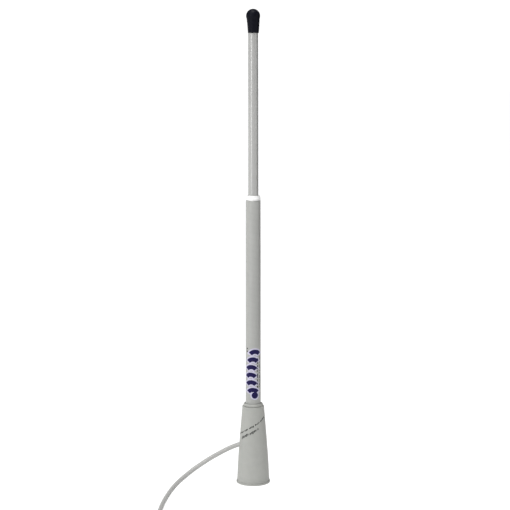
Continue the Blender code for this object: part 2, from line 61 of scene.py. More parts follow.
# Camera
CAMERA_PLACE = (0.00199, -1.64258, 0.502187)
CAMERA_PITCH = math.radians(8.4385)
CAMERA_LENS = 106.106

# Base
BASE_HEIGHT = 88.2 * MM
BASE_SHOULDER_RADIUS = 12.3 * MM
BASE_SHOULDER_HEIGHT = 86.2 * MM
COLLAR_RADIUS = 10.9 * MM
GROOVE_DEPTH = 0.9 * MM  # how far the slot under the collar reaches inwards
GROOVE_HEIGHT = 0.42 * MM
BASE_FOOT_RADIUS = 18.15 * MM
BASE_LIP_HEIGHT = 2.0 * MM
BASE_BULGE = 0.5 * MM
CHAMBER_FLOOR = 30.0 * MM
CHAMBER_RADIUS = 7.2 * MM
THREAD_MAJOR_RADIUS = 12.7 * MM
THREAD_MINOR_RADIUS = 11.75 * MM
THREAD_PITCH = 25.4 / 14 * MM

# Mast: radii of each tube at its foot and top
TAPERS = {"lower_tube": (8.62 * MM, 8.08 * MM), "upper_tube": (5.74 * MM, 5.30 * MM)}
LOWER_TUBE_BORE = 7.15 * MM
UPPER_TUBE_BORE = 4.3 * MM
CAP_NECK_RADIUS = 6.7 * MM
CAP_NECK_HEIGHT = 513.2 * MM
CAP_RIM_RADIUS = 6.0 * MM
CAP_SKIRT_SHIFT = 0.25 * MM
CAP_HEAD_SHIFT = -0.05 * MM
CAP_OVERHANG = 0.5 * MM
ROD_BORE = 1.8 * MM
WINDING_TURNS = 10
WINDING_PITCH = 3.4 * MM
WINDING_WIRE_RADIUS = 0.6 * MM
WINDING_STEPS = 28  # points in a turn

# Print: a broadcast mark on the mast, and lines on the base. A line has its two ends, each in degrees
# and millimetres of height, and the height of its strokes in millimetres.
FILM_THICKNESS = 0.03 * MM
PROUD = 0.01 * MM  # keeps a film clear of the facets of what it lies on
MARK_FOOT = 101.5 * MM
MARK_HEIGHT = 52.0 * MM
MARK_DOT = 3.7 * MM
MARK_EDGE = 1.5 * MM
MARK_WAVES = 6
MARK_RADIUS = 6.4 * MM
MARK_STROKE = 4.8 * MM
MARK_SPREAD = math.radians(54)
MARK_SWAY = (math.radians(13), math.radians(-32))  # place of both ends, and bow of the middle from there
MARK_SPOTS = (154.3 * MM, 151.2 * MM)
MARK_DASH_COLUMNS = ((38, -5, 3.5, 5.0), (56, -2, 2.5, 4.0))  # degrees: place, bow, half widths
PRINT_STROKE = 5.0  # degrees
BASE_PRINT_LINES = (((-80, 56.0), (66, 76.6), 1.8), ((-57, 52.9), (29, 64.9), 2.8))

# Cable ties and connector
TIE_ANGLES = (math.radians(40), math.radians(130))
TIE_CLEARANCE = 0.3 * MM
TIE_THICKNESS = 1.0 * MM
TIE_WIDTH = 3.0 * MM
TIE_STEPS = 96
PLUG_THREAD_PITCH = 25.4 / 24 * MM
SOLDER_HEIGHT = 11.7 * MM
NUT_JOINT_REACH = 27.5 * MM  # from the connector's rear to the point that its nut's joint states

# Light, as shares of the radiance that shows white
FLOOR_GLOW = 0.93
FLOOR_SHADE = 0.3
SURROUND_GLOW = 1.1
WORLD_STRENGTH = 0.27
LIGHT_TARGET = Vector((0, 0, 0.26))
KEY_RADIANCE = 5.6
SIDE_RADIANCE = 1.45
TOP_RADIANCE = 8.0
FILL_RADIANCE = 0.9
BACK_RADIANCE = 0.5
FLAG_PLACE = (0.75, 0.725, 0.6)
FLAG_SIZE = (1.2, 1.65, 1.0)
FLAG_SHADE = 0.01

# Lead
CABLE_RADIUS = 2.5 * MM
CABLE_HOLE = CABLE_RADIUS + GAP
EXIT = Vector((-15.74, 0.0, 43.3)) * MM
EXIT_SLOPE = math.radians(21)
GROMMET_RADIUS = 4.0 * MM
COIL_RADIUS = 35.5 * MM
COIL_ROWS = (4, 4, 4, 4, 2)  # turns in each layer, from the bottom
COIL_COLUMN = 5.0 * MM
COIL_LAYER = 4.35 * MM
COIL_BOTTOM = 3.8 * MM  # height of the lowest layer's centreline
COIL_STEPS = 36  # points in a turn


# Objects, meshes and outlines


def add_object(name, data):
    added = bpy.data.objects.new(name, data)
    bpy.context.scene.collection.objects.link(added)
    return added


def place_piece(name, data, material, replaced=(), place=None, body="antenna"):
    """A finished piece on its body, which hides the nodes that it stands for."""
    piece = add_object(name, data)
    if not data.materials:
        data.materials.append(material)
    if place:
        piece.matrix_world = place
    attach(piece, body)
    if replaced:
        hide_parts(*replaced)
    return piece


def in_mm(*corners):
    """Corners given in millimetres, in metres."""
    return [tuple(number * MM for number in corner) for corner in corners]


def smooth_step(share):
    share = min(1.0, max(0.0, share))
    return share * share * (3 - 2 * share)


def smooth_through(route, spacing):
    """Evenly spaced points on a Catmull-Rom curve through a route."""
    knots = [Vector(point) for point in route]
    knots = [2 * knots[0] - knots[1], *knots, 2 * knots[-1] - knots[-2]]
    fine = [knots[1]]
    for i in range(1, len(knots) - 2):
        before, start, end, after = knots[i - 1 : i + 3]
        for step in range(1, 17):
            t = step / 16
            bend = 2 * start + (end - before) * t
            bend += (2 * before - 5 * start + 4 * end - after) * t**2
            bend += (3 * start - before - 3 * end + after) * t**3
            fine.append(bend / 2)
    total = sum((b - a).length for a, b in zip(fine, fine[1:]))
    count = max(2, round(total / spacing))
    kept, travelled, mark = [fine[0]], 0.0, 1
    for a, b in zip(fine, fine[1:]):
        travelled += (b - a).length
        if travelled >= total * mark / count and mark < count:
            kept.append(b)
            mark += 1
    return [*kept, fine[-1]]


def filleted(corners, steps=5):
    """An outline from (radius, height) corners; a third number rounds that corner by it."""
    outline = []
    count = len(corners)
    for i, corner in enumerate(corners):
        place = Vector(corner[:2])
        size = corner[2] if len(corner) > 2 else 0
        if not size:
            outline.append(place)
            continue
        before = (Vector(corners[i - 1][:2]) - place).normalized()
        after = (Vector(corners[(i + 1) % count][:2]) - place).normalized()
        half = math.acos(max(-1.0, min(1.0, before.dot(after)))) / 2
        centre = place + (before + after).normalized() * size / math.sin(half)
        start = place + before * size / math.tan(half) - centre
        end = place + after * size / math.tan(half) - centre
        sweep = start.angle_signed(end)
        for step in range(steps + 1):
            turn = Matrix.Rotation(-sweep * step / steps, 2)
            outline.append(centre + turn @ start)
    return outline


def finely(outline, longest):
    """The same closed outline with points added on its long stretches."""
    points = []
    for here, there in zip(outline, [*outline[1:], outline[0]]):
        pieces = max(1, math.ceil((there - here).length / longest))
        points += [here.lerp(there, step / pieces) for step in range(pieces)]
    return points


def welded(points, faces, distance):
    """A bmesh of points and faces, in which points closer than a distance become one."""
    raw = bpy.data.meshes.new("raw")
    raw.from_pydata(points, [], faces)
    shape = bmesh.new()
    shape.from_mesh(raw)
    bpy.data.meshes.remove(raw)
    bmesh.ops.remove_doubles(shape, verts=shape.verts, dist=distance)
    return shape


def mesh_from(name, shape):
    """A mesh of a bmesh, which is then freed."""
    mesh = bpy.data.meshes.new(name)
    shape.to_mesh(mesh)
    shape.free()
    return mesh


def smoothed(mesh, degrees):
    """Smooth shading, apart from edges sharper than an angle."""
    mesh.shade_smooth()
    mesh.set_sharp_from_angle(angle=math.radians(degrees))
    return mesh


def skin(name, rows, closed=False, smooth=40):
    """A mesh over rows of points that each close on themselves. closed joins the last row to the first."""
    count = len(rows[0])
    faces = []
    for i in range(len(rows) if closed else len(rows) - 1):
        upper, lower = i * count, (i + 1) % len(rows) * count
        for j in range(count):
            k = (j + 1) % count
            faces.append((upper + j, upper + k, lower + k, lower + j))
    shape = welded([point for row in rows for point in row], faces, 0.0005 * MM)
    bmesh.ops.recalc_face_normals(shape, faces=shape.faces)
    return smoothed(mesh_from(name, shape), smooth)


def turned_rows(outline, segments, relief=None):
    """Rows of points of an outline turned about Z. relief(angle, radius, height) gives the true radius."""
    rows = []
    for radius, height in outline:
        row = []
        for step in range(segments):
            angle = FULL_TURN * step / segments
            reach = relief(angle, radius, height) if relief else radius
            row.append((reach * math.cos(angle), reach * math.sin(angle), height))
        rows.append(row)
    return rows


def turned_piece(
    name, corners, segments, material, replaced, place=None, relief=None, longest=None, body="antenna"
):
    """A turned piece. An outline that starts on the axis is open there, and any other is a ring."""
    outline = filleted(corners)
    if longest:
        outline = finely(outline, longest)
    ring = corners[0][0] > 0
    mesh = skin(name, turned_rows(outline, segments, relief), closed=ring)
    return place_piece(name, mesh, material, replaced, place, body)


def round_wire(name, line, radius, resolution):
    """A round wire along a line of points, as a curve."""
    curve = bpy.data.curves.new(name, "CURVE")
    curve.dimensions = "3D"
    curve.bevel_depth = radius
    curve.bevel_resolution = resolution
    curve.use_fill_caps = True
    spline = curve.splines.new("POLY")
    spline.points.add(len(line) - 1)
    for knot, point in zip(spline.points, line):
        knot.co = (*point, 1.0)
    spline.use_smooth = True
    return curve


def cut(piece, *cutters):
    """Takes each cutter out of a piece for good, and removes the cutter."""
    for cutter in cutters:
        boolean = piece.modifiers.new("Cut", "BOOLEAN")
        boolean.operation = "DIFFERENCE"
        boolean.object = cutter
        boolean.solver = "EXACT"
    bpy.context.view_layer.update()
    graph = bpy.context.evaluated_depsgraph_get()
    piece.data = bpy.data.meshes.new_from_object(piece.evaluated_get(graph))
    piece.modifiers.clear()
    piece.data.set_sharp_from_angle(angle=math.radians(35))
    for cutter in cutters:
        bpy.data.objects.remove(cutter)


def round_cutter(radius, start, end, place, segments=48):
    outline = [(0, end), (radius, end), (radius, start), (0, start)]
    cutter = add_object("cutter", skin("cutter", turned_rows(outline, segments)))
    cutter.matrix_world = place
    return cutter


def block(size, middle):
    """A bmesh box about a point."""
    shape = bmesh.new()
    bmesh.ops.create_cube(shape, size=1.0)
    bmesh.ops.scale(shape, vec=size, verts=shape.verts)
    bmesh.ops.translate(shape, vec=middle, verts=shape.verts)
    return shape


# Materials


class Surface:
    """A material whose nodes are added one at a time, in object coordinates in millimetres.

    Where a colour is wanted, a number stands for that tint of the surface's own tone.
    """

    def __init__(self, name, tone, roughness, metallic=0.0, specular=0.5):
        self.tone = tone
        self.material = bpy.data.materials.new(name)
        self.material.use_nodes = True
        self.nodes = self.material.node_tree.nodes
        self.shader = self.nodes["Principled BSDF"]
        self.set("Roughness", roughness)
        self.set("Metallic", metallic)
        self.set("Specular IOR Level", specular)
        place = self.nodes.new("ShaderNodeTexCoord")
        scale = self.add("ShaderNodeVectorMath", operation="SCALE")
        self.join(place.outputs["Object"], scale.inputs["Vector"])
        scale.inputs["Scale"].default_value = 1 / MM
        self.place = scale.outputs["Vector"]

    def set(self, socket, value):
        self.shader.inputs[socket].default_value = value

    def add(self, kind, **settings):
        node = self.nodes.new(kind)
        for key, value in settings.items():
            setattr(node, key, value)
        return node

    def join(self, output, socket):
        self.material.node_tree.links.new(output, socket)

    def stretched(self, scale):
        """Coordinates squeezed by a factor along each axis."""
        node = self.add("ShaderNodeVectorMath", operation="MULTIPLY")
        self.join(self.place, node.inputs[0])
        node.inputs[1].default_value = scale
        return node.outputs["Vector"]

    def noise(self, size, detail=3.0, stretch=(1, 1, 1)):
        """Noise from about 0.3 to 0.7, whose lumps measure about size millimetres."""
        node = self.add("ShaderNodeTexNoise")
        node.inputs["Scale"].default_value = 1 / size
        node.inputs["Detail"].default_value = detail
        node.inputs["Roughness"].default_value = 0.5
        self.join(self.stretched(stretch), node.inputs["Vector"])
        return node.outputs["Fac"]

    def cells(self, size):
        node = self.add("ShaderNodeTexVoronoi")
        node.inputs["Scale"].default_value = 1 / size
        self.join(self.place, node.inputs["Vector"])
        return node.outputs["Distance"]

    def maths(self, operation, first, second=0.0):
        node = self.add("ShaderNodeMath", operation=operation)
        for socket, value in zip(node.inputs, (first, second)):
            if isinstance(value, float):
                socket.default_value = value
            else:
                self.join(value, socket)
        return node.outputs[0]

    def spread(self, value, start, end, low=0.0, high=1.0):
        """Maps start..end to low..high and holds what lies beyond."""
        node = self.add("ShaderNodeMapRange")
        self.join(value, node.inputs["Value"])
        for socket, number in zip(("From Min", "From Max", "To Min", "To Max"), (start, end, low, high)):
            node.inputs[socket].default_value = number
        return node.outputs["Result"]

    def axes(self):
        node = self.add("ShaderNodeSeparateXYZ")
        self.join(self.place, node.inputs[0])
        return node.outputs

    def height(self):
        return self.axes()["Z"]

    def turn(self):
        """The angle about the object's own Z axis, in radians."""
        axes = self.axes()
        return self.maths("ARCTAN2", axes["Y"], axes["X"])

    def mix(self, share, *colours):
        """A colour between two, each a triple, a tint or another output."""
        node = self.add("ShaderNodeMix", data_type="RGBA")
        self.join(share, node.inputs["Factor"])
        sockets = [socket for socket in node.inputs if socket.type == "RGBA"]
        for socket, colour in zip(sockets, colours):
            if isinstance(colour, float):
                colour = tuple(channel * colour for channel in self.tone)
            if isinstance(colour, tuple):
                socket.default_value = (*colour, 1.0)
            else:
                self.join(colour, socket)
        return next(socket for socket in node.outputs if socket.type == "RGBA")

    def shade(self, value, start, end, first, second, most=1.0):
        """A colour that goes from first towards second as value goes from start to end, up to a share."""
        return self.mix(self.spread(value, start, end, 0.0, most), first, second)

    def colour(self, output):
        self.join(output, self.shader.inputs["Base Color"])

    def roughness(self, value, low, high, start=0.3, end=0.7):
        self.join(self.spread(value, start, end, low, high), self.shader.inputs["Roughness"])

    def with_relief(self, *layers):
        """The material, once it has relief from (height output, depth in millimetres) pairs."""
        normal = None
        for output, depth in layers:
            node = self.add("ShaderNodeBump")
            node.inputs["Strength"].default_value = 1.0
            node.inputs["Distance"].default_value = depth * MM
            self.join(output, node.inputs["Height"])
            if normal:
                self.join(normal, node.inputs["Normal"])
            normal = node.outputs["Normal"]
        self.join(normal, self.shader.inputs["Normal"])
        return self.material


def gelcoat(name, tone, gloss, coat, ripple):
    """Gelcoat over wound fibre: faint helical wraps show through, with light scuffs along the tube."""
    surface = Surface(name, tone, gloss, specular=0.38 + 0.27 * coat)
    surface.set("Coat Weight", coat)
    surface.set("Coat Roughness", 0.18)
    wrap = surface.maths("ADD", surface.maths("MULTIPLY", surface.turn(), 2.2), surface.height())
    wraps = surface.maths("SINE", surface.maths("MULTIPLY", wrap, 0.9))
    cloud = surface.noise(9.0, 4.0, (1, 1, 0.35))
    scuffs = surface.noise(0.7, 3.0, (1, 1, 0.04))
    base = surface.shade(cloud, 0.35, 0.65, 0.975, 1.02)
    wrapped = surface.shade(wraps, 0.2, 1.0, base, 0.6, most=0.05)
    surface.colour(surface.shade(scuffs, 0.66, 0.75, wrapped, 1.25, most=0.16))
    surface.roughness(scuffs, 0.8 * gloss, 1.5 * gloss, 0.4, 0.7)
    lumps, grit = surface.noise(2.4, 2.0), surface.noise(0.35)
    return surface.with_relief((wraps, ripple / 4), (lumps, ripple), (grit, 0.0015))


def moulded(name, tone, gloss):
    """Moulded plastic with a fine spark-eroded grain, mottling, and a colour a little darker towards the
    floor.
    """
    surface = Surface(name, tone, gloss, specular=0.35)
    mottle = surface.noise(7.0, 4.0)
    specks = surface.noise(0.22, 2.0)
    scratches = surface.noise(0.5, 2.0, (1.0, 1.0, 0.08))
    base = surface.shade(mottle, 0.35, 0.65, 0.97, 1.02)
    fine = surface.shade(specks, 0.35, 0.65, base, 0.72, most=0.1)
    # The colour darkens over the lowest 9 mm, towards the floor, broken up by the mottling.
    floor_darkening_mask = surface.maths("MULTIPLY", surface.spread(surface.height(), 0.0, 9.0, 0.5, 0.0), mottle)
    floor_darkened = surface.mix(floor_darkening_mask, fine, 0.62)
    surface.colour(surface.shade(scratches, 0.68, 0.76, floor_darkened, 1.3, most=0.2))
    surface.roughness(mottle, gloss - 0.06, gloss + 0.08)
    return surface.with_relief((mottle, 0.03), (specks, 0.012))


def rubber(name, tone, gloss, dust):
    """Soft rubber: dull grain, a patchy bloom of dust, and rubbed patches that shine."""
    surface = Surface(name, tone, gloss, specular=0.07)
    grain = surface.noise(0.3)
    patches = surface.noise(3.5, 4.0)
    base = surface.shade(grain, 0.35, 0.65, 0.8, 1.25)
    surface.colour(surface.shade(patches, 0.45, 0.7, base, dust, most=0.35))
    surface.roughness(patches, gloss - 0.1, gloss + 0.12)
    return surface.with_relief((patches, 0.03), (grain, 0.012))


def jacket(name, tone, gloss):
    """Extruded cable jacket: a soft sheen, faint flow marks and handling dirt."""
    surface = Surface(name, tone, gloss, specular=0.4)
    dirt = surface.noise(14.0, 5.0)
    flow = surface.noise(1.1)
    base = surface.shade(flow, 0.35, 0.65, 0.96, 1.03)
    surface.colour(surface.shade(dirt, 0.5, 0.72, base, 0.72, most=0.25))
    surface.roughness(flow, gloss - 0.06, gloss + 0.08)
    return surface.with_relief((flow, 0.02), (surface.noise(0.25, 2.0), 0.006))


def plated(name, tone, gloss, tarnish):
    """Plated or turned metal with turning marks, tiny scratches and cloudy tarnish."""
    surface = Surface(name, tone, gloss, metallic=1.0)
    cloud = surface.noise(2.6, 4.0)
    turning = surface.noise(0.12, 2.0, (0.1, 0.1, 1.0))
    scratches = surface.noise(0.35, 2.0, (1.0, 0.12, 1.0))
    base = surface.shade(cloud, 0.35, 0.7, 1.0, tarnish)
    surface.colour(surface.shade(scratches, 0.66, 0.74, base, 1.1, most=0.3))
    surface.roughness(cloud, gloss - 0.07, gloss + 0.12)
    return surface.with_relief((turning, 0.004), (scratches, 0.003))


def plain_solid(name, tone, gloss, grain, depth, specular=0.4):
    """A bulk material such as fluoropolymer, ferrite, resin or printed ink, with its own grain."""
    surface = Surface(name, tone, gloss, specular=specular)
    cloud = surface.noise(grain * 9, 4.0)
    fine = surface.noise(grain)
    base = surface.shade(cloud, 0.35, 0.65, 0.92, 1.06)
    surface.colour(surface.shade(fine, 0.4, 0.7, base, 0.8, most=0.3))
    surface.roughness(fine, gloss - 0.05, gloss + 0.1)
    return surface.with_relief((cloud, depth * 2), (fine, depth))


def cellular(name, tone):
    """Closed-cell foam, pitted where its cells are cut, with painted shade darkening each pit."""
    surface = Surface(name, tone, 0.9, specular=0.2)
    pits = surface.cells(0.8)
    # Painted shade: the colour darkens towards the middle of each cell, where the pit's relief is lowest.
    base = surface.shade(pits, 0.1, 0.6, 0.7, 1.0)
    surface.colour(surface.shade(surface.noise(3.0, 4.0), 0.4, 0.7, base, 0.85, most=0.3))
    return surface.with_relief((surface.spread(pits, 0.0, 0.6), 0.15), (surface.noise(0.2), 0.02))


def braid(name, tone):
    """Woven wire: two sets of strands that cross at a slant, with painted shade in the gaps between them."""
    surface = Surface(name, tone, 0.35, metallic=1.0)
    turn = surface.maths("MULTIPLY", surface.turn(), 8.0)
    rise = surface.maths("MULTIPLY", surface.height(), 5.0)
    strands = []
    for slant in ("ADD", "SUBTRACT"):
        wave = surface.maths("SINE", surface.maths(slant, turn, rise))
        strands.append(surface.maths("ABSOLUTE", wave))
    weave = surface.maths("MAXIMUM", *strands)
    # Painted shade: the colour darkens where the weave's relief is lowest, between the strands.
    surface.colour(surface.shade(weave, 0.2, 0.9, 0.25, 1.0))
    surface.roughness(surface.noise(0.4), 0.28, 0.5)
    return surface.with_relief((weave, 0.12), (surface.noise(0.1), 0.01))


def circuit_board(name, tone):
    """Green laminate with copper tracks under the mask and a weave in the glass."""
    surface = Surface(name, tone, 0.4)
    surface.set("Coat Weight", 0.4)
    tracks = surface.add("ShaderNodeTexBrick", offset=0.35, squash=1.0)
    for socket, size in (("Scale", 1.0), ("Brick Width", 7.0), ("Row Height", 2.2), ("Mortar Size", 0.35)):
        tracks.inputs[socket].default_value = size
    turned_up = surface.add("ShaderNodeMapping")
    turned_up.inputs["Rotation"].default_value = (HALF_TURN / 2, 0, 0)
    surface.join(surface.place, turned_up.inputs["Vector"])
    surface.join(turned_up.outputs["Vector"], tracks.inputs["Vector"])
    weave = surface.noise(0.3, 2.0, (1.0, 1.0, 0.4))
    base = surface.shade(weave, 0.35, 0.65, 0.8, 1.2)
    surface.colour(surface.mix(tracks.outputs["Fac"], base, (0.12, 0.36, 0.10)))
    surface.roughness(weave, 0.32, 0.5)
    return surface.with_relief((tracks.outputs["Fac"], 0.05), (weave, 0.01))


# Lead

LEAD_ROUTE = in_mm(
    (-12.9, 0, 44.4), (-15.7, 0, 43.3), (-20.0, 0, 41.7), (-26.7, -0.3, 39.0),
    (-33.5, -1.3, 35.8), (-40.2, -3.0, 32.5), (-46.9, -5.4, 29.3), (-53.5, -8.6, 25.9),
    (-60.1, -12.7, 22.5), (-66.7, -17.8, 19.1), (-73.1, -24.4, 15.6), (-79.4, -32.9, 12.4),
    (-85.4, -45.1, 9.6), (-90.3, -60.0, 7.0), (-94.1, -76.0, 4.8), (-96.6, -92.0, 3.4),
    (-98.0, -108.0, 2.7), (-98.6, -124.0, 2.6), (-98.8, -140.0, 2.6), (-98.8, -156.0, 2.6),
    (-98.8, -170.0, 2.7), (-98.7, -185.0, 3.2), (-98.6, -198.8, 3.8),
)
TAIL_ROUTE = in_mm(
    (-91.5, -213.0, 26.8), (-92.0, -223.0, 26.8), (-90.2, -233.0, 26.9), (-85.2, -241.7, 27.1),
    (-77.6, -247.4, 27.5), (-67.8, -249.0, 28.1), (-57.9, -249.0, 29.5), (-48.0, -249.0, 30.9),
    (-40.1, -249.0, 32.0),
)


def coil_centre():
    low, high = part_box("cable_coil")
    return Vector(((low.x + high.x) / 2, (low.y + high.y) / 2, 0))


def layer_tracks(layer, turns):
    """(radius, height) of a layer's turns in winding order: inwards in even layers, outwards in odd ones."""
    full = max(COIL_ROWS)
    outermost = (1.75 - 0.5 * (layer % 2)) * COIL_COLUMN
    offsets = [outermost - COIL_COLUMN * column for column in range(full)]
    offsets = offsets[(full - turns) // 2 :][:turns]
    if layer % 2:
        offsets.reverse()
    return [(COIL_RADIUS + offset, COIL_BOTTOM + COIL_LAYER * layer) for offset in offsets]


def coil_line(centre, tail_start):
    """Points of the wound lead, layer by layer, with a short crossing at the end of each turn."""
    tracks = []
    for layer, turns in enumerate(COIL_ROWS):
        tracks += layer_tracks(layer, turns)
    last = tail_start - centre
    last_share = math.atan2(last.y, last.x) / FULL_TURN + 0.5
    tracks.append((math.hypot(last.x, last.y), last.z))
    line = []
    for turn in range(len(tracks) - 1):
        (radius, height), (next_radius, next_height) = tracks[turn : turn + 2]
        final = turn == len(tracks) - 2
        for step in range(COIL_STEPS):
            share = step / COIL_STEPS
            if final and share >= last_share - 0.5 / COIL_STEPS:
                break
            across = smooth_step((share - 0.88) / 0.11)
            up = across
            if final:
                across = smooth_step((share - last_share + 0.15) / 0.14)
                up = smooth_step((share - last_share + 0.27) / 0.24)
            angle = HALF_TURN + FULL_TURN * share
            reach = radius + (next_radius - radius) * across
            level = height + (next_height - height) * up
            line.append(centre + Vector((reach * math.cos(angle), reach * math.sin(angle), level)))
    return line


def make_cable(material):
    """The whole lead: out of the base, down to the floor, round the coil and up into the plug."""
    wound = coil_line(coil_centre(), Vector(TAIL_ROUTE[0]))
    line = smooth_through((*LEAD_ROUTE, *wound, *TAIL_ROUTE), 1.4 * CABLE_RADIUS)
    curve = round_wire("coaxial_lead", line, CABLE_RADIUS, 6)
    replaced = ["cable_lead", "cable_coil", "cable_tail"]
    return place_piece("coaxial_lead", curve, material, replaced)


# Base


def base_radius(height):
    """The ferrule's outer radius: a cone with a slight bulge in its lower half."""
    share = (BASE_SHOULDER_HEIGHT - height) / (BASE_SHOULDER_HEIGHT - BASE_LIP_HEIGHT)
    cone = BASE_SHOULDER_RADIUS + (BASE_FOOT_RADIUS - BASE_SHOULDER_RADIUS) * share
    return cone + BASE_BULGE * math.sin(HALF_TURN * min(1.0, max(0.0, share)) ** 1.3)


def hole_place():
    """The cable hole's frame: its Z axis points into the base from the surface."""
    return Matrix.Translation(EXIT) @ Matrix.Rotation(HALF_TURN / 2 - EXIT_SLOPE, 4, "Y")


def make_base(material):
    """The moulded cone, with a rounded collar over a slot at the mast's foot and a lip at the bottom."""
    low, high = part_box("base_ferrule")
    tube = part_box("lower_tube")[1].x + GAP
    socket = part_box("thread_insert")[1]
    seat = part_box("lower_tube")[0].z - GAP
    top, lip = high.z, high.x
    ledge = BASE_HEIGHT - 0.2 * MM
    neck = COLLAR_RADIUS - GROOVE_DEPTH
    corners = [(0, CHAMBER_FLOOR), (CHAMBER_RADIUS, CHAMBER_FLOOR, 0.8 * MM), (CHAMBER_RADIUS, seat)]
    corners += [(tube, seat), (tube, top - 0.3 * MM), (tube + 0.3 * MM, top)]
    corners += [(COLLAR_RADIUS - 0.1 * MM, top, 1.3 * MM), (COLLAR_RADIUS, ledge + GROOVE_HEIGHT, 0.12 * MM)]
    corners += [(neck, ledge + GROOVE_HEIGHT), (neck, ledge)]
    corners += [(BASE_SHOULDER_RADIUS - 0.02 * MM, ledge, 0.6 * MM)]
    for step in range(13):
        height = BASE_SHOULDER_HEIGHT + (BASE_LIP_HEIGHT - BASE_SHOULDER_HEIGHT) * step / 12
        corners.append((base_radius(height), height))
    corners += [(lip - 0.05 * MM, BASE_LIP_HEIGHT - 0.15 * MM), (lip, BASE_LIP_HEIGHT - 0.5 * MM)]
    corners += [(lip, low.z, 0.3 * MM), (socket.x + GAP, low.z, 0.3 * MM)]
    corners += [(socket.x + GAP, socket.z + GAP), (0, socket.z + GAP)]
    shell = turned_piece("base_shell", corners, 144, material, ["base_ferrule"])
    cut(shell, round_cutter(GROMMET_RADIUS + GAP, -4 * MM, 14 * MM, hole_place()))


def make_thread_insert(material):
    """The socket's metal insert, with a helical thread and a knurl that grips the plastic."""
    low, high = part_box("thread_insert")
    depth = THREAD_MAJOR_RADIUS - THREAD_MINOR_RADIUS

    def relief(angle, radius, height):
        if radius > THREAD_MAJOR_RADIUS + 0.5 * MM:
            return radius - 0.15 * MM * (1 - abs(math.sin(angle * 30)))
        lead_in = smooth_step((height - low.z) / (1.5 * MM)) * smooth_step((high.z - height) / (1.5 * MM))
        turn = (height / THREAD_PITCH - angle / FULL_TURN) % 1.0
        ridge = max(0.0, min(1.0, 2.2 * abs(turn - 0.5) - 0.05))
        return THREAD_MAJOR_RADIUS - depth * (1 - ridge) * lead_in

    corners = [(THREAD_MAJOR_RADIUS, high.z), (high.x, high.z, 0.4 * MM), (high.x, low.z, 0.4 * MM)]
    corners += [(THREAD_MAJOR_RADIUS, low.z)]
    replaced = ["thread_insert"]
    step = THREAD_PITCH / 8
    turned_piece("socket_thread", corners, 120, material, replaced, None, relief, step)


def make_grommet(material):
    """A soft grommet in the slanted hole, dished to follow the cone, with a lip round the lead."""
    place = hole_place()
    inward = place.to_3x3() @ Vector((0, 0, 1))

    def circle(radius, depth):
        outline = turned_rows([(radius, depth)], 64)[0]
        return [place @ Vector(point) for point in outline]

    def on_cone(point):
        for _ in range(6):
            point = point + inward * (math.hypot(point.x, point.y) - base_radius(point.z))
        return point

    rows = []
    lip, rim = CABLE_HOLE + 0.35 * MM, GROMMET_RADIUS - 0.5 * MM
    for radius, proud in ((CABLE_HOLE, -0.3), (lip, 0.1), (rim, 0.05), (GROMMET_RADIUS, -0.15)):
        rows.append([on_cone(point) - inward * proud * MM for point in circle(radius, 0)])
    rows += [circle(radius, 8.2 * MM) for radius in (GROMMET_RADIUS, CABLE_HOLE)]
    mesh = skin("lead_grommet", rows, closed=True)
    place_piece("lead_grommet", mesh, material, ["cable_grommet"])


# Mast


def taper(node, height):
    """The outer radius of a tapered tube at a height, from its box; the foot is the wide end."""
    foot_radius, top_radius = TAPERS[node]
    low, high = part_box(node)
    share = (height - low.z) / (high.z - low.z)
    return foot_radius + (top_radius - foot_radius) * share


def make_tube(node, name, bore, material):
    """A tapered tube with rounded ends, a touch uneven where the fibre was wound and sanded."""
    low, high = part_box(node)
    corner = 0.25 * MM
    outline = [Vector((bore, high.z)), Vector((taper(node, high.z) - corner, high.z))]
    for step in range(61):
        height = high.z - corner - (high.z - low.z - 2 * corner) * step / 60
        outline.append(Vector((taper(node, height), height)))
    outline += [Vector((taper(node, low.z) - corner, low.z)), Vector((bore, low.z))]

    def relief(angle, radius, height):
        if radius < bore + 0.4 * MM:
            return radius
        return radius + 0.02 * MM * math.sin(2 * angle + height / (31 * MM))

    mesh = skin(name, turned_rows(outline, 96, relief), closed=True)
    place_piece(name, mesh, material, [node])


def make_bush(material):
    """The white bush that carries the thin tube in the thick one, with its coned flange between them."""
    low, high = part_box("reducer_bush")
    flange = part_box("lower_tube")[1].z + GAP
    outer = taper("lower_tube", flange)
    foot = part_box("upper_tube")[0].z
    bore = taper("upper_tube", foot) + GAP
    spigot = LOWER_TUBE_BORE - GAP
    corners = [(bore, high.z, 0.2 * MM), (bore + 0.9 * MM, high.z, 0.4 * MM)]
    corners += [(outer - 0.05 * MM, flange + 1.6 * MM, 0.8 * MM), (outer, flange, 0.25 * MM)]
    corners += [(spigot, flange), (spigot, low.z, 0.6 * MM), (UPPER_TUBE_BORE, low.z, 0.3 * MM)]
    corners += [(UPPER_TUBE_BORE, foot - GAP), (bore, foot - GAP)]
    turned_piece("tube_bush", corners, 96, material, ["reducer_bush"], longest=2 * MM)


